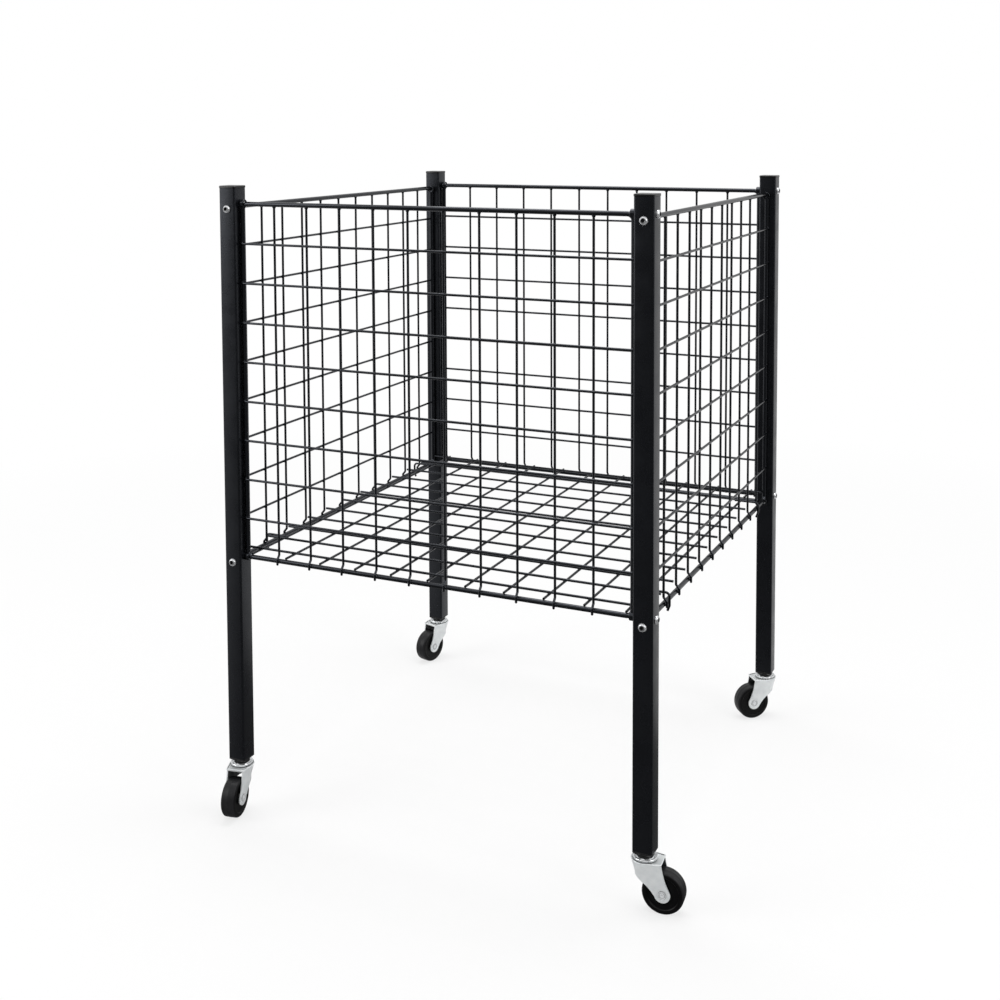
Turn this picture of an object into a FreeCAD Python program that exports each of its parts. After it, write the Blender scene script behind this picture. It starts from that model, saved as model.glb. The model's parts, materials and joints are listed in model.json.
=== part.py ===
import FreeCAD, Part
import math
import os
from FreeCAD import Vector

# A wire-mesh dump bin for a shop floor: four square posts on swivel casters, four welded wire
# panels screwed between the posts, and a welded wire shelf that lies on the panels' bottom rods.
# Millimetres. The origin is on the ground under the middle of the bin, +Z is up, the front panel
# faces -Y and the right panel faces +X.

# Posts: square tube, measured over the outside of the bin
bin_width = 600.0
bin_depth = 600.0
post_side = 25.0
post_wall = 1.5
post_corner = 2.5
smallest_corner = 0.3
post_length = 770.0

# Plastic caps in the tops of the posts
cap_height = 3.0
cap_overhang = 0.5
cap_edge = 1.0
cap_plug_depth = 9.0
cap_plug_wall = 1.8

# Rods and wires
rod_diameter = 6.2
wire_diameter = 3.2
weld_depth = 0.4

# Wire panels
panel_top_drop = 21.0
panel_bottom_rise = 277.0
side_panel_drop = 4.0
panel_post_gap = 0.5
panel_corner_bend = 8.0
panel_uprights = 10
panel_crosswires = 8
upright_foot_length = 1.8
upright_jog_height = 5.0
upright_bend = 2.6

# Threaded sleeves welded in the panels' corners, and their screws
sleeve_diameter = 11.0
sleeve_length = 7.2
sleeve_spare_thread = 1.0
front_sleeve_rise = 0.5
screw_crossing_gap = 1.0
screw_diameter = 6.0
thread_clearance = 0.1
post_hole_clearance = 0.2
screw_head_diameter = 10.5
screw_head_height = 3.3
screw_edge_height = 0.6
screw_flat_diameter = 6.4
screw_crown_bulge = 0.45
hex_key = 4.0
hex_depth = 2.2

# Base shelf
shelf_long_wires = 11
shelf_seat_clearance = 0.15
shelf_end_gap = 0.4
shelf_sleeve_gap = 2.6
shelf_rod_overhang = 1.0
stiffener_inset = 39.5
hook_beside_wire = 8.0
hook_root_lap = 6.4
hook_rod_gap = 0.3
hook_straight_tail = 4.0
hook_tail_drop = 10.5
hook_tail_lean = 2.5

# Caster: from the ground up
wheel_diameter = 51.0
wheel_width = 19.0
wheel_shoulder = 3.0
wheel_rim_width = 6.0
wheel_hollow = 1.6
wheel_hub_diameter = 17.0
fork_headroom = 8.2
crown_thickness = 2.0
bearing_gap = 0.8
race_height = 3.0
neck_height = 4.0
flange_height = 3.0

# Caster: across
caster_trail = 23.0
crown_radius = 16.0
crown_tongue_reach = 21.5
crown_bead_radius = 0.9
fork_sheet = 1.8
leg_clearance = 0.8
leg_taper_height = 14.0
leg_end_radius = 9.5
leg_front_angle = 205.0
leg_back_angle = 35.0
skirt_depth = 14.2
knee_ahead = 21.4
knee_above = 10.0
waist_behind = 2.6
waist_above = 17.5
race_diameter = 30.0
race_lip = 1.0
neck_width = 21.0
socket_plug_height = 30.0
socket_fit = 0.1
flange_bevel = 1.5
stem_diameter = 11.0
stem_end_gap = 3.0
stem_point = 1.0
stem_fit = 0.05
kingpin_diameter = 8.0
kingpin_fit = 0.08
kingpin_head_diameter = 12.0
kingpin_head_height = 2.5
kingpin_head_gap = 0.3
ball_diameter = 2.6
ball_circle = 20.0
ball_count = 12
ball_clearance = 0.3
ball_seat_clearance = 0.1
axle_diameter = 6.0
axle_head_diameter = 10.0
axle_head_height = 1.0
axle_groove_width = 0.9
axle_groove_depth = 0.4
axle_hole_fit = 0.05
bush_running_fit = 0.06
bush_wall = 2.0
bush_end_gap = 0.3

# Which way each caster's wheel trails, in degrees from +X
trail_angles = {
    "front_left": -79.4,
    "front_right": 5.6,
    "rear_right": 219.9,
    "rear_left": 254.4,
}

# How far a cutting shape runs past what it cuts
cut_past = 1.0

# Worked out from the values above
tube_inside = post_side - 2 * post_wall
tube_inner_corner = max(post_corner - post_wall, smallest_corner)
plug_side = tube_inside - 2 * socket_fit
stem_length = neck_height + flange_height + socket_plug_height - stem_end_gap
leg_inner_half = wheel_width / 2 + leg_clearance
leg_outer_half = leg_inner_half + fork_sheet
rod_radius = rod_diameter / 2
wire_radius = wire_diameter / 2
crown_bottom = wheel_diameter + fork_headroom
crown_top = crown_bottom + crown_thickness
race_bottom = crown_top + bearing_gap
race_top = race_bottom + race_height
post_bottom = race_top + neck_height + flange_height
post_top = post_bottom + post_length
post_centre_x = bin_width / 2 - post_side / 2
post_centre_y = bin_depth / 2 - post_side / 2
front_top = post_top - panel_top_drop
front_bottom = post_bottom + panel_bottom_rise
side_top = front_top - side_panel_drop
side_bottom = front_bottom - side_panel_drop
# The side panels' screws pass one crossing gap below the front and rear panels' screws.
front_screw_heights = (front_top + front_sleeve_rise, front_bottom + front_sleeve_rise)
screw_step = screw_diameter + screw_crossing_gap
side_screw_heights = (front_screw_heights[0] - screw_step, front_screw_heights[1] - screw_step)
half_between_x = bin_width / 2 - post_side
half_between_y = bin_depth / 2 - post_side
wheel_radius = wheel_diameter / 2

Z_AXIS = Vector(0, 0, 1)
Y_AXIS = Vector(0, 1, 0)
X_AXIS = Vector(1, 0, 0)
ORIGIN = Vector(0, 0, 0)
ROUND_CORNERS = 2

CORNER_SIGNS = {
    "front_left": (-1, -1),
    "front_right": (1, -1),
    "rear_right": (1, 1),
    "rear_left": (-1, 1),
}


def square_bar(side, corner, bottom, top):
    """An upright square bar about the Z axis, with rounded upright edges."""
    bar = Part.makeBox(side, side, top - bottom, Vector(-side / 2, -side / 2, bottom))
    upright = [e for e in bar.Edges if abs(e.tangentAt(e.FirstParameter).z) > 0.9]
    return bar.makeFillet(corner, upright)


def disc(diameter, bottom, top):
    """An upright cylinder about the Z axis."""
    return Part.makeCylinder(diameter / 2, top - bottom, Vector(0, 0, bottom))


def turned(points):
    """A solid of revolution about the Z axis from (radius, height) points."""
    outline = Part.makePolygon([Vector(r, 0, z) for r, z in points + points[:1]])
    return Part.Face(outline).revolve(ORIGIN, Z_AXIS, 360)


def bent_path(points, bend, closed=False):
    """A wire through the points, with a tangent arc of the given radius at each corner."""
    count = len(points)
    edges = []
    start = None
    first = None
    corners = range(count) if closed else range(1, count - 1)
    if not closed:
        start = points[0]
    for index in corners:
        corner = points[index]
        back = (points[index - 1] - corner).normalize()
        ahead = (points[(index + 1) % count] - corner).normalize()
        half_angle = back.getAngle(ahead) / 2
        setback = bend / math.tan(half_angle)
        enter = corner + back * setback
        leave = corner + ahead * setback
        middle_way = (back + ahead).normalize()
        middle = corner + middle_way * (bend / math.sin(half_angle) - bend)
        if start is not None:
            edges.append(Part.LineSegment(start, enter).toShape())
        else:
            first = enter
        edges.append(Part.Arc(enter, middle, leave).toShape())
        start = leave
    end = first if closed else points[-1]
    edges.append(Part.LineSegment(start, end).toShape())
    return Part.Wire(edges)


def bent_rod(points, diameter, bend, closed=False):
    """A round rod that follows the points, with bends of the given centre-line radius."""
    path = bent_path(points, bend, closed)
    if closed:
        start = path.Edges[0].valueAt(path.Edges[0].FirstParameter)
        along = path.Edges[0].tangentAt(path.Edges[0].FirstParameter)
    else:
        start = points[0]
        along = points[1] - points[0]
    circle = Part.Wire(Part.makeCircle(diameter / 2, start, along))
    return path.makePipeShell([circle], True, True)


def straight_rod(start, end, diameter):
    """A straight round rod between two points."""
    along = end - start
    return Part.makeCylinder(diameter / 2, along.Length, start, along)


def welded(pieces):
    """One solid from pieces that run into each other."""
    return pieces[0].multiFuse(pieces[1:])


def on_side(shape, angle):
    """Turns a shape made for the front of the bin to another side."""
    turned_shape = shape.copy()
    turned_shape.rotate(ORIGIN, Z_AXIS, angle)
    return turned_shape


def at_corner(shape, corner):
    """Moves a shape made about the Z axis to a post."""
    x_sign, y_sign = CORNER_SIGNS[corner]
    moved = shape.copy()
    moved.translate(Vector(x_sign * post_centre_x, y_sign * post_centre_y, 0))
    return moved


def at_caster(shape, corner):
    """Turns a caster piece that trails along +X to its corner's direction, and moves it there."""
    return at_corner(on_side(shape, trail_angles[corner]), corner)


def post(corner):
    """Square tube with two pairs of cross holes: one pair for each panel screwed to it."""
    tube = square_bar(post_side, post_corner, post_bottom, post_top)
    inside = square_bar(tube_inside, tube_inner_corner, post_bottom - cut_past, post_top + cut_past)
    tube = tube.cut(inside)
    hole = screw_diameter + 2 * post_hole_clearance
    for height in front_screw_heights:
        start = Vector(-post_side, 0, height)
        tube = tube.cut(straight_rod(start, start + X_AXIS * 2 * post_side, hole))
    for height in side_screw_heights:
        start = Vector(0, -post_side, height)
        tube = tube.cut(straight_rod(start, start + Y_AXIS * 2 * post_side, hole))
    return at_corner(tube, corner)


def post_cap(corner):
    """Plastic cap with rounded top edges and a hollow plug that grips inside the tube."""
    cap_side = post_side + 2 * cap_overhang
    plate = square_bar(cap_side, post_corner + cap_overhang, post_top, post_top + cap_height)
    rim = [e for e in plate.Edges if e.BoundBox.ZMin > post_top + cap_height / 2]
    plate = plate.makeFillet(cap_edge, rim)
    plug_bottom = post_top - cap_plug_depth
    plug = square_bar(plug_side, tube_inner_corner, plug_bottom, post_top)
    hollow_side = plug_side - 2 * cap_plug_wall
    plug = plug.cut(square_bar(hollow_side, tube_inner_corner, plug_bottom - cut_past, post_top))
    return at_corner(plate.fuse(plug), corner)


def caster_socket(corner):
    """Plastic insert: square plug in the tube, bevelled flange below it, eight-sided neck."""
    flange_bottom = post_bottom - flange_height
    plug_top = post_bottom + socket_plug_height
    plug = square_bar(plug_side, tube_inner_corner, post_bottom, plug_top)
    flange = square_bar(post_side, post_corner, flange_bottom, post_bottom)
    lower = [e for e in flange.Edges if e.BoundBox.ZMax < flange_bottom + flange_height / 2]
    flange = flange.makeChamfer(flange_bevel, lower)
    neck = eight_sided(neck_width, race_top, flange_bottom)
    bore = disc(stem_diameter + 2 * stem_fit, race_top - cut_past, plug_top + cut_past)
    return at_corner(welded([plug, flange, neck]).cut(bore), corner)


def eight_sided(width, bottom, top):
    """An upright eight-sided bar, measured across its flats."""
    reach = width / 2 / math.cos(math.pi / 8)
    ring = [math.radians(45 * i + 22.5) for i in range(9)]
    corners = [Vector(reach * math.cos(a), reach * math.sin(a), bottom) for a in ring]
    return Part.Face(Part.makePolygon(corners)).extrude(Vector(0, 0, top - bottom))


def ball_track(clearance):
    """The ring of space that the swivel balls roll in, with room round each ball."""
    middle = crown_top + bearing_gap / 2
    return Part.makeTorus(ball_circle / 2, ball_diameter / 2 + clearance, Vector(0, 0, middle))


def caster_stem(corner):
    """Stem, upper race and kingpin in one: the stem sits in the socket, the kingpin holds the fork."""
    head_top = crown_bottom - kingpin_head_gap
    head_bottom = head_top - kingpin_head_height
    stem_r = stem_diameter / 2
    race_r = race_diameter / 2
    pin_r = kingpin_diameter / 2
    head_r = kingpin_head_diameter / 2
    body = turned([
        (0, head_bottom),
        (head_r - stem_point, head_bottom),
        (head_r, head_bottom + stem_point),
        (head_r, head_top),
        (pin_r, head_top),
        (pin_r, race_bottom),
        (race_r - race_lip, race_bottom),
        (race_r, race_bottom + race_lip),
        (race_r, race_top - race_lip),
        (race_r - race_lip, race_top),
        (stem_r, race_top),
        (stem_r, race_top + stem_length - stem_point),
        (stem_r - stem_point, race_top + stem_length),
        (0, race_top + stem_length),
    ])
    return at_corner(body.cut(ball_track(ball_clearance)), corner)


def swivel_balls(corner):
    """The ring of loose bearing balls between the fork's crown and the upper race."""
    balls = []
    for index in range(ball_count):
        angle = 2 * math.pi * index / ball_count
        x = ball_circle / 2 * math.cos(angle)
        y = ball_circle / 2 * math.sin(angle)
        balls.append(Part.makeSphere(ball_diameter / 2, Vector(x, y, crown_top + bearing_gap / 2)))
    return at_caster(Part.makeCompound(balls), corner)


def fork_outline(front_radius, half_width, tail, height):
    """Plan of the fork at one height: round in front, and straight sides that meet the round front
    tangentially, pass half_width off the middle at the crown's trailing edge and end at the tail."""
    distance = math.hypot(crown_tongue_reach, half_width)
    lean = math.atan2(half_width, crown_tongue_reach) + math.acos(front_radius / distance)
    touch = Vector(front_radius * math.cos(lean), front_radius * math.sin(lean), height)
    slope = (half_width - touch.y) / (crown_tongue_reach - touch.x)
    tail_width = half_width + slope * (tail - crown_tongue_reach)
    mirror = Vector(touch.x, -touch.y, height)
    nose = Vector(-front_radius, 0, height)
    tail_left = Vector(tail, tail_width, height)
    tail_right = Vector(tail, -tail_width, height)
    return Part.Wire([
        Part.LineSegment(tail_left, touch).toShape(),
        Part.Arc(touch, nose, mirror).toShape(),
        Part.LineSegment(mirror, tail_right).toShape(),
        Part.LineSegment(tail_right, tail_left).toShape(),
    ])


def fork_block(inset, tail, bottom):
    """The space inside the fork's outer faces, inset all round: a tapered skirt over straight legs."""
    waist = crown_bottom - leg_taper_height
    leg_half = leg_outer_half - inset
    wide = fork_outline(crown_radius - inset, leg_half, tail, crown_bottom)
    narrow = fork_outline(leg_half, leg_half, tail, waist)
    skirt = Part.makeLoft([wide, narrow], True, True)
    legs = Part.Face(narrow).extrude(Vector(0, 0, bottom - waist))
    return skirt.fuse(legs)


def fork_side_profile():
    """Side view of the fork as a plate across its whole width: what is outside it is cut away."""
    axle = Vector(caster_trail, 0, wheel_radius)
    front_angle = math.radians(leg_front_angle)
    back_angle = math.radians(leg_back_angle)
    front_touch = axle + Vector(math.cos(front_angle), 0, math.sin(front_angle)) * leg_end_radius
    back_touch = axle + Vector(math.cos(back_angle), 0, math.sin(back_angle)) * leg_end_radius
    lowest = axle - Z_AXIS * leg_end_radius
    knee = axle + Vector(-knee_ahead, 0, knee_above)
    waist = axle + Vector(waist_behind, 0, waist_above)
    rear_top = Vector(crown_tongue_reach, 0, crown_top + cut_past)
    front_top = Vector(-crown_radius - crown_thickness, 0, crown_top + cut_past)
    skirt_edge = Vector(front_top.x, 0, crown_bottom - skirt_depth)
    edges = [
        Part.LineSegment(rear_top, front_top).toShape(),
        Part.LineSegment(front_top, skirt_edge).toShape(),
        Part.Arc(skirt_edge, knee, front_touch).toShape(),
        Part.Arc(front_touch, lowest, back_touch).toShape(),
        Part.Arc(back_touch, waist, rear_top).toShape(),
    ]
    plate = Part.Face(Part.Wire(edges)).extrude(Y_AXIS * 4 * crown_radius)
    plate.translate(-Y_AXIS * 2 * crown_radius)
    return plate


def crown_bead():
    """The raised bead that runs round the edge of the crown."""
    path = fork_outline(crown_radius, leg_outer_half, crown_tongue_reach, crown_top)
    trailing_edge = path.Edges[3]
    start = trailing_edge.valueAt(trailing_edge.FirstParameter)
    circle = Part.Wire(Part.makeCircle(crown_bead_radius, start, Y_AXIS))
    route = Part.Wire([trailing_edge] + path.Edges[:3])
    return route.makePipeShell([circle], True, True, ROUND_CORNERS)


def caster_fork(corner):
    """Pressed steel fork: round crown with a beaded edge, skirt round the front, two legs."""
    lowest = wheel_radius - 2 * leg_end_radius
    tail = caster_trail + 2 * leg_end_radius
    outside = fork_block(0, tail, lowest)
    inside = fork_block(fork_sheet, tail + fork_sheet, lowest - fork_sheet)
    plan = fork_outline(crown_radius, leg_outer_half, crown_tongue_reach, crown_bottom)
    crown = Part.Face(plan).extrude(Vector(0, 0, crown_thickness))
    fork = outside.cut(inside).fuse(crown).common(fork_side_profile())
    fork = fork.fuse(crown_bead())
    fork = fork.cut(disc(kingpin_diameter + 2 * kingpin_fit, 0, post_bottom))
    fork = fork.cut(ball_track(ball_seat_clearance))
    hole = axle_diameter + 2 * axle_hole_fit
    start = Vector(caster_trail, -2 * crown_radius, wheel_radius)
    fork = fork.cut(straight_rod(start, start + Y_AXIS * 4 * crown_radius, hole))
    return at_caster(fork, corner)


def across(shape):
    """Lays a shape made about the Z axis along the wheel's axle."""
    laid = shape.copy()
    laid.rotate(ORIGIN, X_AXIS, -90)
    laid.translate(Vector(caster_trail, 0, wheel_radius))
    return laid


def wheel(corner):
    """Hard rubber wheel with a flat tread, rounded shoulders and a hollowed side round its hub."""
    half = wheel_width / 2
    tyre = Part.makeCylinder(wheel_radius, wheel_width, Vector(0, 0, -half))
    tyre = tyre.makeFillet(wheel_shoulder, [e for e in tyre.Edges if e.Closed])
    bore = axle_diameter + 2 * bush_running_fit + 2 * bush_wall
    tyre = tyre.cut(disc(bore, -half - cut_past, half + cut_past))
    for low, high in ((-half - cut_past, wheel_hollow - half), (half - wheel_hollow, half + cut_past)):
        ring = disc(wheel_diameter - 2 * wheel_rim_width, low, high)
        tyre = tyre.cut(ring.cut(disc(wheel_hub_diameter, low, high)))
    return at_caster(across(tyre), corner)


def wheel_bush(corner):
    """Plain bush in the wheel that turns on the axle and keeps the wheel clear of the legs."""
    inner = axle_diameter + 2 * bush_running_fit
    half = leg_inner_half - bush_end_gap
    bush = disc(inner + 2 * bush_wall, -half, half)
    bush = bush.cut(disc(inner, -half - cut_past, half + cut_past))
    return at_caster(across(bush), corner)


def axle_rivet(corner):
    """Rivet through both legs, with a flat round head on each side."""
    rivet = disc(axle_diameter, -leg_outer_half, leg_outer_half)
    head_top = leg_outer_half + axle_head_height
    head = disc(axle_head_diameter, leg_outer_half, head_top)
    groove_bottom = head_top - axle_groove_depth
    groove = disc(axle_diameter + 2 * axle_groove_width, groove_bottom, head_top + cut_past)
    head = head.cut(groove.cut(disc(axle_diameter, groove_bottom, head_top + cut_past)))
    other_head = head.mirror(ORIGIN, Z_AXIS)
    rivet = welded([rivet, head, other_head])
    return at_caster(across(rivet), corner)


def upright_spacing(half_opening):
    """Half the width of a panel's rim between centre lines, and the pitch of its uprights."""
    half = half_opening - panel_post_gap - rod_radius
    return half, 2 * half / (panel_uprights + 1)


def panel(half_opening, plane, top, bottom, screw_heights, angle):
    """One welded wire panel, made for the front and turned to its side.

    half_opening is half the space between the two posts, plane the distance from the middle of
    the bin to the rim's centre line, top and bottom the heights of the rim's rods.
    """
    half, pitch = upright_spacing(half_opening)
    rim_corners = [
        Vector(-half, -plane, bottom),
        Vector(half, -plane, bottom),
        Vector(half, -plane, top),
        Vector(-half, -plane, top),
    ]
    pieces = [bent_rod(rim_corners, rod_diameter, panel_corner_bend, closed=True)]
    for index in range(1, panel_uprights + 1):
        pieces.append(panel_upright(-half + index * pitch, plane, top, bottom))
    rise = (top - bottom) / (panel_crosswires + 1)
    outer = plane + wire_diameter - weld_depth
    for index in range(1, panel_crosswires + 1):
        start = Vector(-half, -outer, bottom + index * rise)
        pieces.append(straight_rod(start, start + X_AXIS * 2 * half, wire_diameter))
    for side in (-1, 1):
        for height in screw_heights:
            end = Vector(side * half_opening, -plane, height)
            pieces.append(straight_rod(end, end - X_AXIS * side * sleeve_length, sleeve_diameter))
    body = welded(pieces)
    thread = screw_diameter + 2 * thread_clearance
    for side in (-1, 1):
        for height in screw_heights:
            end = Vector(side * (half_opening + cut_past), -plane, height)
            inner_end = end - X_AXIS * side * (sleeve_length + cut_past)
            body = body.cut(straight_rod(end, inner_end, thread))
    return on_side(body, angle)


def panel_upright(across_position, plane, top, bottom):
    """Upright wire: butts up under the top rod, and jogs out over the bottom rod to end below it."""
    outer = plane + rod_radius + wire_radius - weld_depth
    jog_bottom = bottom + rod_radius
    points = [
        Vector(across_position, -plane, top),
        Vector(across_position, -plane, jog_bottom + upright_jog_height),
        Vector(across_position, -outer, jog_bottom),
        Vector(across_position, -outer, bottom - rod_radius - upright_foot_length),
    ]
    return bent_rod(points, wire_diameter, upright_bend)


def base_shelf():
    """Welded wire floor: long wires from front to back that lie on the front and rear panels'
    bottom rods, a cross wire beside each side upright, a stiffening rod and four hooks."""
    level = front_bottom + rod_radius + shelf_seat_clearance + wire_radius
    upper = level + wire_diameter - weld_depth
    pieces = []
    half_y = post_centre_y + shelf_rod_overhang
    last_x = half_between_x - sleeve_length - shelf_sleeve_gap - wire_radius
    long_pitch = 2 * last_x / (shelf_long_wires - 1)
    for index in range(shelf_long_wires):
        start = Vector(-last_x + index * long_pitch, -half_y, level)
        pieces.append(straight_rod(start, start + Y_AXIS * 2 * half_y, wire_diameter))
    half_x = post_centre_x - rod_radius - shelf_end_gap
    last_y, cross_pitch = upright_spacing(half_between_y)
    for index in range(panel_uprights + 2):
        start = Vector(-half_x, -last_y + index * cross_pitch, upper)
        pieces.append(straight_rod(start, start + X_AXIS * 2 * half_x, wire_diameter))
    below = level - wire_radius - rod_radius + weld_depth
    start = Vector(-half_x, post_centre_y - stiffener_inset, below)
    pieces.append(straight_rod(start, start + X_AXIS * 2 * half_x, rod_diameter))
    hook_y = last_y - cross_pitch - hook_beside_wire
    for x_sign in (-1, 1):
        for y_sign in (-1, 1):
            pieces.append(shelf_hook(x_sign, y_sign * hook_y, last_x, upper))
    return welded(pieces)


def shelf_hook(side, y, root_x, level):
    """Hook welded on the last long wire: out over the side panel's bottom rod and down outside it."""
    bend = rod_radius + wire_radius + hook_rod_gap
    tail_x = post_centre_x + bend
    return bent_rod([
        Vector(side * (root_x - hook_root_lap), y, level),
        Vector(side * tail_x, y, level),
        Vector(side * tail_x, y, side_bottom - hook_straight_tail),
        Vector(side * (tail_x - hook_tail_lean), y, side_bottom - hook_tail_drop),
    ], wire_diameter, bend)


def panel_screws(plane, outside, screw_heights, angle):
    """The four button-head screws that pass through the posts into one panel's sleeves."""
    screws = []
    for side in (-1, 1):
        for height in screw_heights:
            screw = button_screw()
            screw.rotate(ORIGIN, Y_AXIS, side * 90)
            screw.translate(Vector(side * outside, -plane, height))
            screws.append(on_side(screw, angle))
    return Part.makeCompound(screws)


def button_screw():
    """A button-head screw about the Z axis, its head above z = 0, with a hexagon socket."""
    end = sleeve_spare_thread - post_side - sleeve_length
    head_radius = screw_head_diameter / 2
    shank_radius = screw_diameter / 2
    edge = Vector(head_radius, 0, screw_edge_height)
    flat = Vector(screw_flat_diameter / 2, 0, screw_head_height)
    outward = Vector(edge.z - flat.z, 0, flat.x - edge.x).normalize() * -screw_crown_bulge
    outline = Part.Wire([
        Part.LineSegment(Vector(0, 0, end), Vector(shank_radius, 0, end)).toShape(),
        Part.LineSegment(Vector(shank_radius, 0, end), Vector(shank_radius, 0, 0)).toShape(),
        Part.LineSegment(Vector(shank_radius, 0, 0), Vector(head_radius, 0, 0)).toShape(),
        Part.LineSegment(Vector(head_radius, 0, 0), edge).toShape(),
        Part.Arc(edge, (edge + flat) / 2 + outward, flat).toShape(),
        Part.LineSegment(flat, Vector(0, 0, flat.z)).toShape(),
        Part.LineSegment(Vector(0, 0, flat.z), Vector(0, 0, end)).toShape(),
    ])
    screw = Part.Face(outline).revolve(ORIGIN, Z_AXIS, 360)
    corner_reach = hex_key / 2 / math.cos(math.pi / 6)
    floor = screw_head_height - hex_depth
    ring = [math.radians(60 * i) for i in range(7)]
    corners = [Vector(corner_reach * math.cos(a), corner_reach * math.sin(a), floor) for a in ring]
    key = Part.Face(Part.makePolygon(corners)).extrude(Vector(0, 0, hex_depth + cut_past))
    return screw.cut(key)


def export(node, shape):
    """Writes one node's STEP file."""
    shape.exportStep("parts/" + node + ".step")
    print(node, len(shape.Solids), "solids", round(shape.Volume, 1), shape.isValid())


os.makedirs("parts", exist_ok=True)

FRONT_AND_REAR = {"front_panel": 0, "rear_panel": 180}
SIDES = {"right_panel": 90, "left_panel": 270}

for name, turn in FRONT_AND_REAR.items():
    heights = front_screw_heights
    export(name, panel(half_between_x, post_centre_y, front_top, front_bottom, heights, turn))
    export(name + "_screws", panel_screws(post_centre_y, bin_width / 2, heights, turn))

for name, turn in SIDES.items():
    heights = side_screw_heights
    export(name, panel(half_between_y, post_centre_x, side_top, side_bottom, heights, turn))
    export(name + "_screws", panel_screws(post_centre_x, bin_depth / 2, heights, turn))

export("base_shelf", base_shelf())

CORNER_PIECES = {
    "post": post,
    "post_cap": post_cap,
    "caster_socket": caster_socket,
    "caster_stem": caster_stem,
    "swivel_balls": swivel_balls,
    "caster_fork": caster_fork,
    "wheel": wheel,
    "wheel_bush": wheel_bush,
    "axle_rivet": axle_rivet,
}

for corner in CORNER_SIGNS:
    for name, make in CORNER_PIECES.items():
        export(corner + "_" + name, make(corner))
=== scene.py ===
import bmesh
import bpy
import json
import math
from mathutils import Euler, Matrix, Vector


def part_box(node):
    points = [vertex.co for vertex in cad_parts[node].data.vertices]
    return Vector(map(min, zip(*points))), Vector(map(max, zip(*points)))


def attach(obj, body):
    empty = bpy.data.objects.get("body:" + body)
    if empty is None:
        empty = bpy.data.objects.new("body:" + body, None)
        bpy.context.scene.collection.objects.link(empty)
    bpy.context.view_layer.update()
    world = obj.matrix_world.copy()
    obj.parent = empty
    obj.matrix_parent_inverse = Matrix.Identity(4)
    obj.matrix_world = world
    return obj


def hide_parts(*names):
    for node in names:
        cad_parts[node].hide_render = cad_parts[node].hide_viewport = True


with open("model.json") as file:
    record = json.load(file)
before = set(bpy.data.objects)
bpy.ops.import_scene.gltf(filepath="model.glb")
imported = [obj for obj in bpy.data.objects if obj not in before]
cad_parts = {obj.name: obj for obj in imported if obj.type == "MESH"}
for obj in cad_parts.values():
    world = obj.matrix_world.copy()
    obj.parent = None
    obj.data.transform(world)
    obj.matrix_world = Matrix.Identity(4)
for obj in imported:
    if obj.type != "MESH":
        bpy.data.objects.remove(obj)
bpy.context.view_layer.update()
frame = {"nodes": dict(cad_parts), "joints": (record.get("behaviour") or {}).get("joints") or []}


# ----------------------------------------------------------------------
# Posts. Four lengths of 25 mm square steel tube with drawn, rounded edges, cut square and powder
# coated black. The panels' screws pass through them, and the caps and caster sockets plug them.

corners = ("front_left", "front_right", "rear_right", "rear_left")
post_side = 0.025
post_edge_radius = 0.0025
post_wall = 0.0015
post_cut_bevel = 0.0003


def feed(tree, socket, source):
    """Links a node's socket to another, or sets it to a plain value."""
    if isinstance(source, bpy.types.NodeSocket):
        tree.links.new(source, socket)
    else:
        socket.default_value = source


def put_node(tree, kind, options=None, **inputs):
    """Adds a node; its inputs are sockets or plain values, by the socket's name or number."""
    node = tree.nodes.new(kind)
    for option, value in (options or {}).items():
        setattr(node, option, value)
    for name, source in inputs.items():
        key = int(name[1:]) if name[1:].isdigit() else name.replace("_", " ")
        feed(tree, node.inputs[key], source)
    return node


def noise(material, scale, detail):
    """A noise texture of so many features to the metre, fixed to the piece."""
    tree = material.node_tree
    place = tree.nodes["Texture Coordinate"].outputs["Object"]
    return put_node(tree, "ShaderNodeTexNoise", Vector=place, Scale=scale, Detail=detail).outputs["Fac"]


def ramp(material, source, stops):
    """A colour ramp between two (place, colour) stops."""
    node = put_node(material.node_tree, "ShaderNodeValToRGB", Fac=source)
    for element, (place, colour) in zip(node.color_ramp.elements, stops):
        element.position = place
        element.color = (*colour, 1.0)
    return node.outputs["Color"]


def start_material(name, roughness, metallic=0.0):
    """A material with the piece's own coordinates, and its shader."""
    material = bpy.data.materials.new(name)
    material.use_nodes = True
    shader = material.node_tree.nodes["Principled BSDF"]
    shader.inputs["Roughness"].default_value = roughness
    shader.inputs["Metallic"].default_value = metallic
    put_node(material.node_tree, "ShaderNodeTexCoord")
    return material, shader


def add_bump(material, shader, heights):
    """Stacks fine surface bumps: (height source, depth in metres) pairs."""
    below = {}
    for source, depth in heights:
        bump = put_node(material.node_tree, "ShaderNodeBump", Distance=depth, Height=source, **below)
        below = {"Normal": bump.outputs["Normal"]}
    material.node_tree.links.new(below["Normal"], shader.inputs["Normal"])


def powder_coat(name, dark, light, roughness, peel_scale, peel_depth, gloss):
    """Cured powder: nearly black, with orange peel, faint cloudiness and a few dust specks."""
    material, shader = start_material(name, roughness)
    shader.inputs["Specular IOR Level"].default_value = gloss
    shader.inputs["Specular Tint"].default_value = (0.84, 0.89, 1.0, 1)
    links = material.node_tree.links
    cloud = noise(material, 9.0, 3.0)
    links.new(ramp(material, cloud, [(0.35, dark), (0.65, light)]), shader.inputs["Base Color"])
    low = (roughness - 0.05,) * 3
    high = (roughness + 0.07,) * 3
    patches = noise(material, 40.0, 2.0)
    links.new(ramp(material, patches, [(0.3, low), (0.7, high)]), shader.inputs["Roughness"])
    peel = noise(material, peel_scale, 2.0)
    specks = noise(material, peel_scale * 4, 1.0)
    add_bump(material, shader, [(peel, peel_depth), (specks, peel_depth / 5)])
    return material


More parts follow.
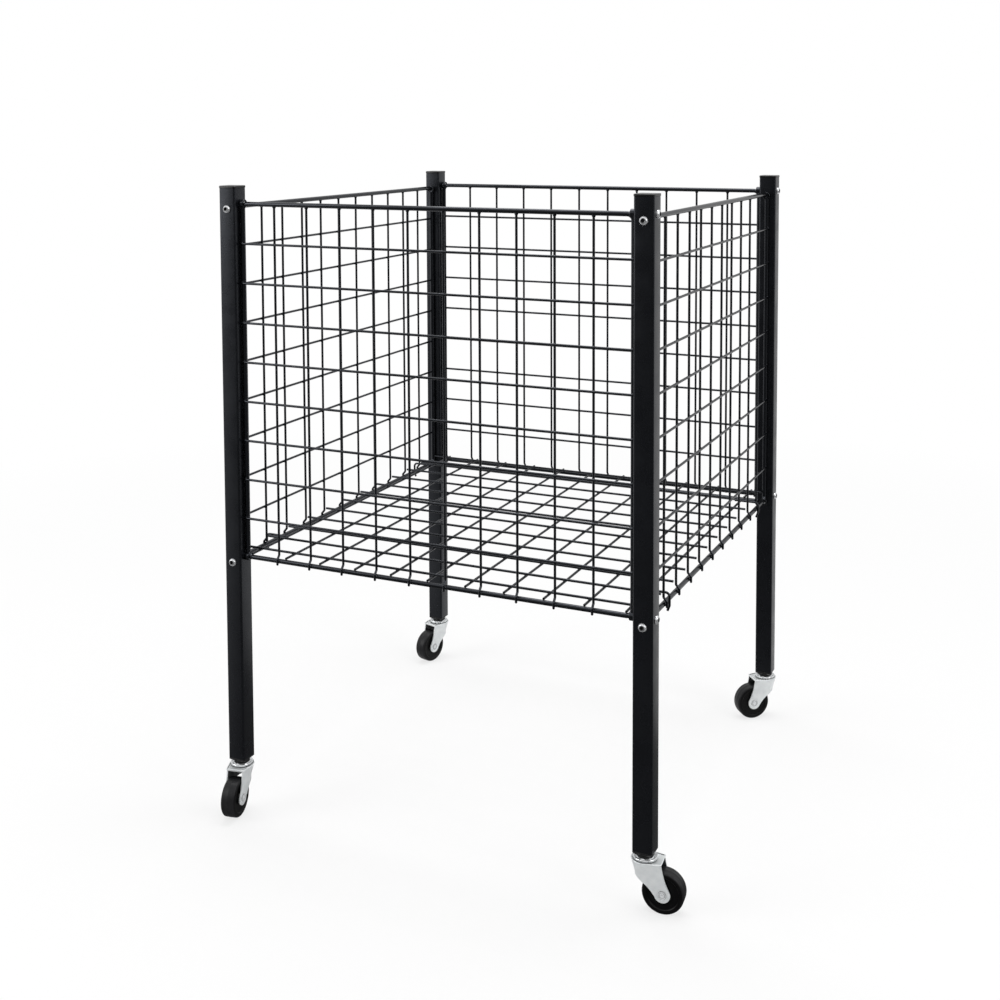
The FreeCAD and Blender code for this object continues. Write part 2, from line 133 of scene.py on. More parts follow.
post_coat = powder_coat(
    "post_powder_coat", dark=(0.0024, 0.0026, 0.0034), light=(0.0038, 0.0041, 0.0052),
    roughness=0.27, peel_scale=520.0, peel_depth=0.00003, gloss=0.5,
)


def rounded_square(side, radius, height, steps=6):
    """One level ring of a square with rounded corners."""
    reach = side / 2 - radius
    ring = []
    for quarter, (across, along) in enumerate(((1, 1), (-1, 1), (-1, -1), (1, -1))):
        for step in range(steps + 1):
            angle = math.radians(90 * quarter + 90 * step / steps)
            x = across * reach + radius * math.cos(angle)
            y = along * reach + radius * math.sin(angle)
            ring.append(Vector((x, y, height)))
    return ring


def skin(rings, closed=False):
    """A mesh over rings with equal numbers of points: its ends are capped, or joined if closed."""
    mesh = bmesh.new()
    rows = [[mesh.verts.new(point) for point in ring] for ring in rings]
    count = len(rows[0])
    pairs = list(zip(rows, rows[1:]))
    if closed:
        pairs.append((rows[-1], rows[0]))
    for lower, upper in pairs:
        for index in range(count):
            following = (index + 1) % count
            mesh.faces.new((lower[index], lower[following], upper[following], upper[index]))
    if not closed:
        mesh.faces.new(reversed(rows[0]))
        mesh.faces.new(rows[-1])
    bmesh.ops.remove_doubles(mesh, verts=mesh.verts, dist=1e-7)
    bmesh.ops.recalc_face_normals(mesh, faces=mesh.faces)
    data = bpy.data.meshes.new("skin")
    mesh.to_mesh(data)
    mesh.free()
    return data


def add_piece(name, data, material, body, nodes, sharp_angle=38):
    """Shows a finished mesh as a piece of the bin that stands for the named nodes."""
    data.materials.clear()
    data.materials.append(material)
    data.shade_smooth()
    data.set_sharp_from_angle(angle=math.radians(sharp_angle))
    piece = bpy.data.objects.new(name, data)
    bpy.context.scene.collection.objects.link(piece)
    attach(piece, body)
    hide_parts(*nodes)


def post_axis(corner):
    """The middle of a post as seen from above."""
    low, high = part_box(corner + "_post")
    return Vector(((low.x + high.x) / 2, (low.y + high.y) / 2, 0.0))


def add_at_posts(name, mesh_between, material, part):
    """Adds a piece at each post, made about the Z axis between its node's foot and top."""
    for corner in corners:
        node = corner + part
        low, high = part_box(node)
        mesh = mesh_between(low.z, high.z)
        mesh.transform(Matrix.Translation(post_axis(corner)))
        add_piece(corner + name, mesh, material, "bin", [node])


def tube_mesh(bottom, top):
    """The square tube: up the outside, over the cut end, and down the inside."""
    inner_side = post_side - 2 * post_wall
    inner_radius = post_edge_radius - post_wall
    bevel = post_cut_bevel
    rings = [
        rounded_square(post_side - 2 * bevel, post_edge_radius - bevel, bottom),
        rounded_square(post_side, post_edge_radius, bottom + bevel),
        rounded_square(post_side, post_edge_radius, top - bevel),
        rounded_square(post_side - 2 * bevel, post_edge_radius - bevel, top),
        rounded_square(inner_side + 2 * bevel, inner_radius + bevel, top),
        rounded_square(inner_side, inner_radius, top - bevel),
        rounded_square(inner_side, inner_radius, bottom + bevel),
        rounded_square(inner_side + 2 * bevel, inner_radius + bevel, bottom),
    ]
    return skin(rings, closed=True)


add_at_posts("_tube", tube_mesh, post_coat, "_post")


# ----------------------------------------------------------------------
# Post caps. Moulded black polyethylene plates a little wider than the tube, with soft edges and a
# short plug that grips inside it.

cap_overhang = 0.0005
cap_height = 0.003
cap_edge = 0.001
cap_lower_edge = 0.0002
plug_lead = 0.0006
plug_side = post_side - 2 * post_wall - 0.0002


def moulded_plastic(name, colour, worn, roughness, texture_scale, texture_depth):
    """Moulded plastic: fine spark texture with a faint flow pattern."""
    material, shader = start_material(name, roughness)
    flow = noise(material, 60.0, 4.0)
    colours = ramp(material, flow, [(0.3, colour), (0.75, worn)])
    material.node_tree.links.new(colours, shader.inputs["Base Color"])
    spark = noise(material, texture_scale, 2.0)
    add_bump(material, shader, [(spark, texture_depth), (flow, texture_depth)])
    return material


cap_plastic = moulded_plastic(
    "cap_polyethylene", colour=(0.0026, 0.0027, 0.0030), worn=(0.0046, 0.0047, 0.0052),
    roughness=0.28, texture_scale=2600.0, texture_depth=0.000006,
)


def cap_mesh(plug_end, cap_top):
    """The cap from its plug up: a short plug, the plate's lower face and its rounded top edge."""
    top_of_tube = cap_top - cap_height
    side = post_side + 2 * cap_overhang
    radius = post_edge_radius + cap_overhang
    plug_radius = post_edge_radius - post_wall
    rings = [
        rounded_square(plug_side - plug_lead, plug_radius, plug_end),
        rounded_square(plug_side, plug_radius, plug_end + plug_lead),
        rounded_square(plug_side, plug_radius, top_of_tube),
        rounded_square(side - 2 * cap_lower_edge, radius - cap_lower_edge, top_of_tube),
        rounded_square(side, radius, top_of_tube + cap_lower_edge),
    ]
    for step in range(7):
        angle = math.radians(15 * step)
        inset = cap_edge * (1 - math.cos(angle))
        height = cap_top - cap_edge + cap_edge * math.sin(angle)
        rings.append(rounded_square(side - 2 * inset, radius - inset, height))
    return skin(rings)


add_at_posts("_cap", cap_mesh, cap_plastic, "_post_cap")


# ----------------------------------------------------------------------
# Wire panels. Each side of the bin is one welded grille: a 6.2 mm rod bent into a closed rim, ten
# upright wires that jog out over the bottom rod, eight cross wires outside them, and a threaded
# sleeve at each corner. The whole panel is powder coated after welding.

rod_diameter = 0.0062
wire_diameter = 0.0032
weld_sink = 0.0004
cross_weld = (0.0044, 0.0026, 0.0044)
rim_weld = (0.0052, 0.0040, 0.0052)
rim_weld_lift = 0.35
rim_bend = 0.008
rim_gap = 0.0005
foot_length = 0.0018
jog_height = 0.005
jog_bend = 0.0026
uprights = 10
cross_wires = 8
sleeve_diameter = 0.011
sleeve_length = 0.0072
sleeve_bore = 0.0062
sleeve_edge = 0.0005
panel_plane = 0.2875
half_opening = 0.275
half_rim = half_opening - rim_gap - rod_diameter / 2
panel_height = 0.472
# The side panels sit lower, so that their screws cross under the front and rear panels' screws.
bottom_rods = {"front": 0.349, "right": 0.345, "rear": 0.349, "left": 0.345}
sleeve_offsets = {"front": 0.0005, "right": -0.0025, "rear": 0.0005, "left": -0.0025}

wire_coat = powder_coat(
    "wire_powder_coat", dark=(0.0018, 0.0020, 0.0025), light=(0.0030, 0.0032, 0.0040),
    roughness=0.12, peel_scale=700.0, peel_depth=0.000003, gloss=0.6,
)


class Tree:
    """A geometry node tree with named sizes, built by short calls."""

    def __init__(self, name, sizes):
        self.group = bpy.data.node_groups.new(name, "GeometryNodeTree")
        for label, value in sizes.items():
            kind = "NodeSocketInt" if isinstance(value, int) else "NodeSocketFloat"
            socket = self.group.interface.new_socket(label, in_out="INPUT", socket_type=kind)
            socket.default_value = value
        self.group.interface.new_socket("Geometry", in_out="OUTPUT", socket_type="NodeSocketGeometry")
        self.size = self.group.nodes.new("NodeGroupInput").outputs
        self.parts = self.group.nodes.new("GeometryNodeJoinGeometry")

    def put(self, kind, options=None, **inputs):
        """Adds a node to the tree."""
        return put_node(self.group, kind, options, **inputs)

    def sum(self, *terms):
        """The sum of (factor, size) terms and plain numbers."""
        total = None
        for term in terms:
            factor, value = term if isinstance(term, tuple) else (1.0, term)
            scaled = self.put("ShaderNodeMath", {"operation": "MULTIPLY"}, _0=value, _1=factor)
            if total is None:
                total = scaled.outputs[0]
            else:
                total = self.put("ShaderNodeMath", _0=total, _1=scaled.outputs[0]).outputs[0]
        return total

    def divide(self, above, below):
        """One value divided by another."""
        return self.put("ShaderNodeMath", {"operation": "DIVIDE"}, _0=above, _1=below).outputs[0]

    def point(self, x=0.0, y=0.0, z=0.0):
        """A position from three values."""
        return self.put("ShaderNodeCombineXYZ", X=x, Y=y, Z=z).outputs[0]

    def path(self, points, bend, closed=False):
        """A curve through the points, with its corners rounded."""
        line = self.put("GeometryNodeMeshLine", Count=len(points))
        choose = self.put("GeometryNodeIndexSwitch", {"data_type": "VECTOR"})
        while len(choose.index_switch_items) < len(points):
            choose.index_switch_items.new()
        index = self.put("GeometryNodeInputIndex").outputs[0]
        for socket, source in zip(choose.inputs, (index, *points)):
            feed(self.group, socket, source)
        placed = self.put("GeometryNodeSetPosition", Geometry=line.outputs[0], Position=choose.outputs[0])
        curve = self.put("GeometryNodeMeshToCurve", Mesh=placed.outputs[0])
        if closed:
            curve = self.put("GeometryNodeSetSplineCyclic", _0=curve.outputs[0], Cyclic=True)
        return self.put(
            "GeometryNodeFilletCurve", {"mode": "POLY"}, Curve=curve.outputs[0],
            Count=7, Radius=bend, Limit_Radius=True,
        ).outputs[0]

    def line(self, start, end):
        """A straight curve between two points."""
        return self.put("GeometryNodeCurvePrimitiveLine", Start=start, End=end).outputs[0]

    def rod(self, curve, diameter, sides):
        """A round rod along a curve."""
        circle = self.put(
            "GeometryNodeCurvePrimitiveCircle", Resolution=sides, Radius=self.sum((0.5, diameter))
        )
        return self.put(
            "GeometryNodeCurveToMesh", Curve=curve, Profile_Curve=circle.outputs[0], Fill_Caps=True
        ).outputs[0]

    def row(self, count, start, step, shape):
        """Copies of a shape in a straight row."""
        line = self.put("GeometryNodeMeshLine", Count=count, Start_Location=start, Offset=step)
        return self.put("GeometryNodeInstanceOnPoints", Points=line.outputs[0], Instance=shape).outputs[0]

    def add(self, geometry):
        """Adds geometry to what the tree makes."""
        self.group.links.new(geometry, self.parts.inputs[0])

    def grow(self, name, material, settings=None):
        """Runs the tree and returns its result as a plain mesh."""
        real = self.put("GeometryNodeRealizeInstances", Geometry=self.parts.outputs[0])
        coat = self.put("GeometryNodeSetMaterial", Geometry=real.outputs[0], Material=material)
        out = self.group.nodes.new("NodeGroupOutput")
        self.group.links.new(coat.outputs[0], out.inputs[0])
        holder = bpy.data.objects.new(name, bpy.data.meshes.new(name))
        bpy.context.scene.collection.objects.link(holder)
        modifier = holder.modifiers.new(name, "NODES")
        modifier.node_group = self.group
        for item in self.group.interface.items_tree:
            if item.in_out == "INPUT" and item.name in (settings or {}):
                modifier[item.identifier] = settings[item.name]
        evaluated = holder.evaluated_get(bpy.context.evaluated_depsgraph_get())
        mesh = bpy.data.meshes.new_from_object(evaluated)
        holder.modifiers.clear()
        bpy.data.objects.remove(holder)
        return mesh


def weld_spot(tree, size):
    """The small smooth swelling that a resistance weld leaves under the coat."""
    ball = tree.put("GeometryNodeMeshUVSphere", Segments=10, Rings=6, Radius=0.5)
    return tree.put("GeometryNodeTransform", Geometry=ball.outputs[0], Scale=size).outputs[0]


def threaded_sleeve(tree):
    """A short round sleeve with a bore, its axis along X."""
    wall = tree.sum((0.5, tree.size["Sleeve"]), (-0.5, tree.size["Bore"]))
    middle = tree.sum((0.25, tree.size["Sleeve"]), (0.25, tree.size["Bore"]))
    ring = tree.put("GeometryNodeCurvePrimitiveCircle", Resolution=32, Radius=middle)
    section = tree.put(
        "GeometryNodeCurvePrimitiveQuadrilateral", Width=wall, Height=tree.size["Sleeve length"]
    )
    section = tree.put(
        "GeometryNodeFilletCurve", {"mode": "POLY"}, Curve=section.outputs[0],
        Count=3, Radius=sleeve_edge, Limit_Radius=True,
    )
    sleeve = tree.put(
        "GeometryNodeCurveToMesh", Curve=ring.outputs[0], Profile_Curve=section.outputs[0]
    )
    return tree.put(
        "GeometryNodeTransform", Geometry=sleeve.outputs[0], Rotation=(0.0, math.pi / 2, 0.0)
    ).outputs[0]


def panel_tree():
    """The front panel's tree; the other sides are the same panel, turned."""
    tree = Tree("wire_panel", {
        "Half": half_rim,
        "Opening": half_opening,
        "Plane": panel_plane,
        "Bottom": 0.0,
        "Height": panel_height,
        "Rod": rod_diameter,
        "Wire": wire_diameter,
        "Weld": weld_sink,
        "Foot": foot_length,
        "Jog": jog_height,
        "Uprights": uprights,
        "Cross wires": cross_wires,
        "Sleeve": sleeve_diameter,
        "Sleeve length": sleeve_length,
        "Sleeve offset": 0.0,
        "Bore": sleeve_bore,
    })
    size = tree.size
    back = tree.sum((-1.0, size["Plane"]))
    left = tree.sum((-1.0, size["Half"]))
    top = tree.sum(size["Bottom"], size["Height"])
    rim = tree.path([
        tree.point(left, back, size["Bottom"]),
        tree.point(size["Half"], back, size["Bottom"]),
        tree.point(size["Half"], back, top),
        tree.point(left, back, top),
    ], rim_bend, closed=True)
    tree.add(tree.rod(rim, size["Rod"], 24))

    width = tree.sum((2.0, size["Half"]))
    pitch = tree.divide(width, tree.sum(size["Uprights"], 1.0))
    first = tree.sum(left, pitch)
    outer = tree.sum(back, (-0.5, size["Rod"]), (-0.5, size["Wire"]), size["Weld"])
    foot = tree.sum(size["Bottom"], (-0.5, size["Rod"]), (-1.0, size["Foot"]), (0.5, size["Wire"]))
    upright = tree.rod(tree.path([
        tree.point(0.0, back, top),
        tree.point(0.0, back, tree.sum(size["Bottom"], (0.5, size["Rod"]), size["Jog"])),
        tree.point(0.0, outer, tree.sum(size["Bottom"], (0.5, size["Rod"]))),
        tree.point(0.0, outer, foot),
    ], jog_bend), size["Wire"], 16)
    tree.add(tree.row(size["Uprights"], tree.point(first), tree.point(pitch), upright))
    tip = tree.put("GeometryNodeMeshUVSphere", Segments=16, Rings=8, Radius=tree.sum((0.5, size["Wire"])))
    tree.add(tree.row(size["Uprights"], tree.point(first, outer, foot), tree.point(pitch), tip.outputs[0]))

    rise = tree.divide(size["Height"], tree.sum(size["Cross wires"], 1.0))
    lowest = tree.sum(size["Bottom"], rise)
    cross_plane = tree.sum(back, (-1.0, size["Wire"]), size["Weld"])
    cross = tree.rod(tree.line(tree.point(left), tree.point(size["Half"])), size["Wire"], 16)
    start = tree.point(0.0, cross_plane, lowest)
    tree.add(tree.row(size["Cross wires"], start, tree.point(0.0, 0.0, rise), cross))

    # A weld at every crossing, at both ends of each cross wire and where each upright is welded.
    spot = weld_spot(tree, cross_weld)
    spot_plane = tree.sum(back, (-0.5, size["Wire"]))
    columns = tree.row(size["Uprights"], tree.point(first, spot_plane), tree.point(pitch), spot)
    tree.add(tree.row(size["Cross wires"], tree.point(0.0, 0.0, lowest), tree.point(0.0, 0.0, rise), columns))
    rim_spot = weld_spot(tree, rim_weld)
    rod_face = tree.sum(back, (-rim_weld_lift, size["Rod"]))
    for side in (left, size["Half"]):
        start = tree.point(side, rod_face, lowest)
        tree.add(tree.row(size["Cross wires"], start, tree.point(0.0, 0.0, rise), rim_spot))
    for level, depth in ((size["Bottom"], rod_face), (tree.sum(top, (-0.5, size["Rod"])), back)):
        start = tree.point(first, depth, level)
        tree.add(tree.row(size["Uprights"], start, tree.point(pitch), rim_spot))

    sleeve = threaded_sleeve(tree)
    inset = tree.sum(size["Opening"], (-0.5, size["Sleeve length"]))
    for end in (inset, tree.sum((-1.0, inset))):
        for level in (top, size["Bottom"]):
            start = tree.point(end, back, tree.sum(level, size["Sleeve offset"]))
            tree.add(tree.row(1, start, tree.point(), sleeve))
    return tree


for turn, side in enumerate(bottom_rods):
    node = side + "_panel"
    heights = {"Bottom": bottom_rods[side], "Sleeve offset": sleeve_offsets[side]}
    mesh = panel_tree().grow(node + "_wires", wire_coat, heights)
    mesh.transform(Matrix.Rotation(math.radians(90 * turn), 4, "Z"))
    add_piece(side + "_grille", mesh, wire_coat, "bin", [node])


# ----------------------------------------------------------------------
# Base shelf. The floor of the bin, laid on the front and rear panels' bottom rods: eleven long
# wires, twelve cross wires welded on them, one thick rod under them near the back, and four wire
# hooks that reach over the side panels' bottom rods and keep it in place.

long_wires = 11
shelf_seat = 0.00015
shelf_end_gap = 0.0004
shelf_sleeve_gap = 0.0026
shelf_weld = (0.0044, 0.0044, 0.0026)
stiffener_weld_lift = 0.45
rod_overhang = 0.001
stiffener_inset = 0.0395
hook_beside_wire = 0.008
hook_root_lap = 0.0064
hook_rod_gap = 0.0003
hook_straight_tail = 0.004
hook_tail_drop = 0.0105
hook_tail_lean = 0.0025

shelf_coat = powder_coat(
    "shelf_powder_coat", dark=(0.0018, 0.0020, 0.0025), light=(0.0030, 0.0032, 0.0040),
    roughness=0.20, peel_scale=640.0, peel_depth=0.000005, gloss=0.5,
)


def shelf_tree():
    """The base shelf: its two layers of wires, their welds, the thick rod and the hooks."""
    tree = Tree("wire_shelf", {
        "Level": bottom_rods["front"] + rod_diameter / 2 + shelf_seat + wire_diameter / 2,
        "Half length": panel_plane + rod_overhang,
        "Half width": panel_plane - rod_diameter / 2 - shelf_end_gap,
        "Last long": half_opening - sleeve_length - shelf_sleeve_gap - wire_diameter / 2,
        "Last cross": half_rim,
        "Rod": rod_diameter,
        "Wire": wire_diameter,
        "Weld": weld_sink,
        "Long wires": long_wires,
        "Cross wires": uprights + 2,
        "Stiffener": panel_plane - stiffener_inset,
        "Hook wire": hook_beside_wire,
        "Hook root": hook_root_lap,
        "Side plane": panel_plane,
        "Side rod": bottom_rods["left"],
    })
    size = tree.size
    level = size["Level"]
    upper = tree.sum(level, size["Wire"], (-1.0, size["Weld"]))
    long_gaps = tree.sum(size["Long wires"], -1.0)
    long_pitch = tree.divide(tree.sum((2.0, size["Last long"])), long_gaps)
    cross_gaps = tree.sum(size["Cross wires"], -1.0)
    cross_pitch = tree.divide(tree.sum((2.0, size["Last cross"])), cross_gaps)
    first_long = tree.sum((-1.0, size["Last long"]))
    first_cross = tree.sum((-1.0, size["Last cross"]))

    front_end = tree.point(0.0, tree.sum((-1.0, size["Half length"])))
    long_line = tree.line(front_end, tree.point(0.0, size["Half length"]))
    long_wire = tree.rod(long_line, size["Wire"], 16)
    start = tree.point(first_long, 0.0, level)
    tree.add(tree.row(size["Long wires"], start, tree.point(long_pitch), long_wire))
    left_end = tree.point(tree.sum((-1.0, size["Half width"])))
    cross_line = tree.line(left_end, tree.point(size["Half width"]))
    cross_wire = tree.rod(cross_line, size["Wire"], 16)
    start = tree.point(0.0, first_cross, upper)
    tree.add(tree.row(size["Cross wires"], start, tree.point(0.0, cross_pitch), cross_wire))

    spot = weld_spot(tree, shelf_weld)
    between = tree.sum(level, (0.5, size["Wire"]))
    line = tree.row(size["Long wires"], tree.point(first_long, 0.0, between), tree.point(long_pitch), spot)
    tree.add(tree.row(size["Cross wires"], tree.point(0.0, first_cross), tree.point(0.0, cross_pitch), line))

    below = tree.sum(level, (-0.5, size["Wire"]), (-0.5, size["Rod"]), size["Weld"])
    stiffener = tree.rod(cross_line, size["Rod"], 24)
    tree.add(tree.row(1, tree.point(0.0, size["Stiffener"], below), tree.point(), stiffener))
    rod_top = tree.sum(below, (stiffener_weld_lift, size["Rod"]))
    start = tree.point(first_long, size["Stiffener"], rod_top)
    tree.add(tree.row(size["Long wires"], start, tree.point(long_pitch), spot))

    bend = tree.sum((0.5, size["Rod"]), (0.5, size["Wire"]), hook_rod_gap)
    hook_y = tree.sum(size["Last cross"], (-1.0, cross_pitch), (-1.0, size["Hook wire"]))
    for side in (-1.0, 1.0):
        outside = tree.sum((side, size["Side plane"]), (side, bend))
        hook = tree.rod(tree.path([
            tree.point(tree.sum((side, size["Last long"]), (-side, size["Hook root"])), 0.0, upper),
            tree.point(outside, 0.0, upper),
            tree.point(outside, 0.0, tree.sum(size["Side rod"], -hook_straight_tail)),
            tree.point(
                tree.sum(outside, -side * hook_tail_lean), 0.0, tree.sum(size["Side rod"], -hook_tail_drop)
            ),
        ], bend), size["Wire"], 16)
        start = tree.point(0.0, tree.sum((-1.0, hook_y)))
        tree.add(tree.row(2, start, tree.point(0.0, tree.sum((2.0, hook_y))), hook))
    return tree


mesh = shelf_tree().grow("shelf_wires", shelf_coat)
add_piece("base_shelf_wires", mesh, shelf_coat, "bin", ["base_shelf"])


# ----------------------------------------------------------------------
# Panel screws. Sixteen M6 button-head screws with hexagon sockets, zinc plated, four to a panel.
# Each passes through a post into a sleeve, with its head seated on the post's outer face.

screw_head_radius = 0.00525
screw_head_height = 0.0033
screw_edge_height = 0.0006
screw_flat_radius = 0.0032
screw_dome_out = 0.0003375
screw_dome_up = 0.00027
screw_under_edge = 0.0002
screw_shank_radius = 0.003
screw_lead = 0.0006
screw_length = 0.0312
hex_key = 0.004
hex_depth = 0.0022
hex_mouth_radius = 0.0026
hex_chamfer = 0.0003
drill_tip_radius = 0.0004
drill_tip_depth = 0.0006
screw_sides = 48
# Near black: the painted shade blended into the metals wherever their meshes are marked.
painted_shade_black = (0.012, 0.012, 0.013, 1)
# Painted shade on the screw head's socket mouth and flat top, lighter than in the socket itself.
mouth_shade = 0.7
mouth_shade_reach = screw_flat_radius + 0.0001


def plated_steel(name, tint, shade, roughness, cloud_scale, metallic=1.0):
    """Zinc plate: bright metal with a faint cloudy bloom and fine drawn marks."""
    material, shader = start_material(name, roughness, metallic)
    links = material.node_tree.links
    cloud = noise(material, cloud_scale, 5.0)
    links.new(ramp(material, cloud, [(0.32, shade), (0.62, tint)]), shader.inputs["Base Color"])
    low = (max(roughness - 0.08, 0.04),) * 3
    high = (roughness + 0.10,) * 3
    links.new(ramp(material, cloud, [(0.35, low), (0.7, high)]), shader.inputs["Roughness"])
    grain = noise(material, cloud_scale * 30, 2.0)
    add_bump(material, shader, [(grain, 0.000008)])
    return material


def blend_where(material, attribute, plain, marked):
    """A colour that goes from plain to marked where the mesh's attribute goes from 0 to 1."""
    tree = material.node_tree
    share = put_node(tree, "ShaderNodeAttribute", {"attribute_name": attribute}).outputs["Fac"]
    mix = put_node(tree, "ShaderNodeMix", {"data_type": "RGBA"}, Factor=share, A=plain, B=marked)
    return mix.outputs["Result"]


def add_painted_shade(material):
    """Paints shade into a metal's colour, up to near black, where its mesh's shade mark says."""
    base_colour = material.node_tree.nodes["Principled BSDF"].inputs["Base Color"]
    metal = base_colour.links[0].from_socket
    shaded = blend_where(material, "painted_shade", metal, painted_shade_black)
    material.node_tree.links.new(shaded, base_colour)


def mark_points(data, attribute, level_at):
    """Stores a level from 0 to 1 at each point of a mesh, worked out from its radius and height."""
    marks = data.attributes.new(attribute, "FLOAT", "POINT")
    for vertex in data.vertices:
        marks.data[vertex.index].value = level_at(vertex.co.xy.length, vertex.co.z)
    return data


screw_zinc = plated_steel(
    "screw_zinc", tint=(0.78, 0.79, 0.80), shade=(0.64, 0.65, 0.67),
    roughness=0.24, cloud_scale=350.0, metallic=0.7,
)
add_painted_shade(screw_zinc)


def circle_ring(radius, height, sides):
    """One level round ring."""
    turns = [2 * math.pi * index / sides for index in range(sides)]
    return [Vector((radius * math.cos(turn), radius * math.sin(turn), height)) for turn in turns]


def flat_sided_ring(flats, across, height, points, shift=0.0):
    """A level ring with so many flats, and with as many points as the rings it is joined to."""
    half_flat = math.pi / flats
    ring = []
    for index in range(points):
        turn = 2 * math.pi * (index + shift) / points
        off_flat = (turn + half_flat) % (2 * half_flat) - half_flat
        radius = across / 2 / math.cos(off_flat)
        ring.append(Vector((radius * math.cos(turn), radius * math.sin(turn), height)))
    return ring


def screw_mesh():
    """A button-head screw about the Z axis, its head above z = 0."""
    socket_floor = screw_head_height - hex_depth
    rings = [
        circle_ring(screw_shank_radius - screw_lead, -screw_length, screw_sides),
        circle_ring(screw_shank_radius, screw_lead - screw_length, screw_sides),
        circle_ring(screw_shank_radius, 0.0, screw_sides),
        circle_ring(screw_head_radius - screw_under_edge, 0.0, screw_sides),
        circle_ring(screw_head_radius, screw_under_edge, screw_sides),
        circle_ring(screw_head_radius, screw_edge_height, screw_sides),
    ]
    steps = 8
    for step in range(1, steps + 1):
        share = step / steps
        bulge = math.sin(math.pi * share)
        radius = screw_head_radius + (screw_flat_radius - screw_head_radius) * share + screw_dome_out * bulge
        height = screw_edge_height + (screw_head_height - screw_edge_height) * share + screw_dome_up * bulge
        rings.append(circle_ring(radius, min(height, screw_head_height), screw_sides))
    rings += [
        circle_ring(hex_mouth_radius, screw_head_height, screw_sides),
        flat_sided_ring(6, hex_key, screw_head_height - hex_chamfer, screw_sides),
        flat_sided_ring(6, hex_key, socket_floor, screw_sides),
        circle_ring(drill_tip_radius, socket_floor - drill_tip_depth, screw_sides),
    ]

    # Painted shade: full in the hex socket, lighter on its mouth and the head's flat top.
    def painted_shade_at(radius, height):
        if height <= 0 or radius > mouth_shade_reach:
            return 0.0
        return 1.0 if height < screw_head_height - hex_chamfer / 2 else mouth_shade

    return mark_points(skin(rings), "painted_shade", painted_shade_at)


def screws_tree(screw, reach, plane, levels):
    """Two screws at each end of a panel, at two levels, pointing in at the posts."""
    tree = Tree("panel_screws", {"Reach": reach, "Plane": plane, "Top": levels[0], "Bottom": levels[1]})
    source = tree.put("GeometryNodeObjectInfo", Object=screw)
    back = tree.sum((-1.0, tree.size["Plane"]))
    rise = tree.point(0.0, 0.0, tree.sum(tree.size["Top"], (-1.0, tree.size["Bottom"])))
    for side in (-1.0, 1.0):
        turned = tree.put(
            "GeometryNodeTransform", Geometry=source.outputs["Geometry"],
            Rotation=(0.0, side * math.pi / 2, 0.0),
        )
        lower = tree.point(tree.sum((side, tree.size["Reach"])), back, tree.size["Bottom"])
        tree.add(tree.row(2, lower, rise, turned.outputs[0]))
    return tree


screw_pattern = bpy.data.objects.new("screw_pattern", screw_mesh())
for turn, side in enumerate(bottom_rods):
    node = side + "_panel_screws"
    lower_screw = bottom_rods[side] + sleeve_offsets[side]
    levels = (lower_screw + panel_height, lower_screw)
    mesh = screws_tree(screw_pattern, half_opening + post_side, panel_plane, levels).grow(node, screw_zinc)
    mesh.transform(Matrix.Rotation(math.radians(90 * turn), 4, "Z"))
    add_piece(side + "_screws", mesh, screw_zinc, "bin", [node])
bpy.data.objects.remove(screw_pattern)


# ----------------------------------------------------------------------
# Caster sockets. Black moulded inserts: a square plug pushed up the tube, a bevelled flange under
# the tube's end, and an eight-sided neck down to the caster's race.

tube_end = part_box("front_left_post")[0].z
neck_width = 0.021
neck_end_width = 0.0204
neck_bevel = 0.0004
flange_bevel = 0.0015
flange_height = 0.003
flange_edge = 0.0002
plug_bevel = 0.001

socket_plastic = moulded_plastic(
    "socket_nylon", colour=(0.006, 0.006, 0.0065), worn=(0.010, 0.010, 0.011),
    roughness=0.34, texture_scale=1800.0, texture_depth=0.00002,
)


def socket_mesh(neck_foot, plug_top):
    """The insert from its neck up to the top of its plug."""
    flange_bottom = tube_end - flange_height
    neck = (
        (neck_end_width, neck_foot), (neck_width, neck_foot + neck_bevel),
        (neck_width, flange_bottom - neck_bevel), (neck_width + 2 * neck_bevel, flange_bottom),
    )
    flange = [
        rounded_square(post_side - 2 * flange_bevel, post_edge_radius, flange_bottom),
        rounded_square(post_side, post_edge_radius, flange_bottom + flange_bevel),
        rounded_square(post_side, post_edge_radius, tube_end - flange_edge),
        rounded_square(post_side - 2 * flange_edge, post_edge_radius - flange_edge, tube_end),
        rounded_square(plug_side, plug_bevel, tube_end),
        rounded_square(plug_side, plug_bevel, plug_top - plug_bevel),
        rounded_square(plug_side - 2 * plug_bevel, plug_bevel, plug_top),
    ]
    points = len(flange[0])
    return skin([flat_sided_ring(8, width, height, points, 0.5) for width, height in neck] + flange)


add_at_posts("_socket", socket_mesh, socket_plastic, "_caster_socket")


# ----------------------------------------------------------------------
# Caster races and stems. The turned upper race is a dished steel ring, pressed on the stem that
# goes up into the socket; the kingpin below it is peened over under the fork.

race_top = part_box("front_left_caster_socket")[0].z
race_radius = 0.015
race_height = 0.003
stem_radius = 0.0055
stem_lead = 0.001
kingpin_radius = 0.004
kingpin_head_radius = 0.006
kingpin_head_height = 0.0025
# The rim of the race, as insets from its radius and heights over its foot.
race_rim = (
    (0.0008, 0.0), (0.0003, 0.0003), (0.0, 0.0009), (0.0, 0.0020), (0.0003, 0.0027), (0.0008, race_height)
)
# The dish in its top, as radii and depths under the top.
race_dish = (
    (0.0136, 0.0), (0.0130, 0.0003), (0.0122, 0.0011), (0.0110, 0.0014), (0.0100, 0.0006), (0.0094, 0.0)
)
# Painted shade below this height over the race's foot: on the foot, the kingpin and its head.
race_shade_height = 0.0006
race_shade_level = 0.95

race_zinc = plated_steel(
    "race_zinc", tint=(0.86, 0.88, 0.89), shade=(0.74, 0.76, 0.78),
    roughness=0.15, cloud_scale=260.0, metallic=0.75,
)
add_painted_shade(race_zinc)


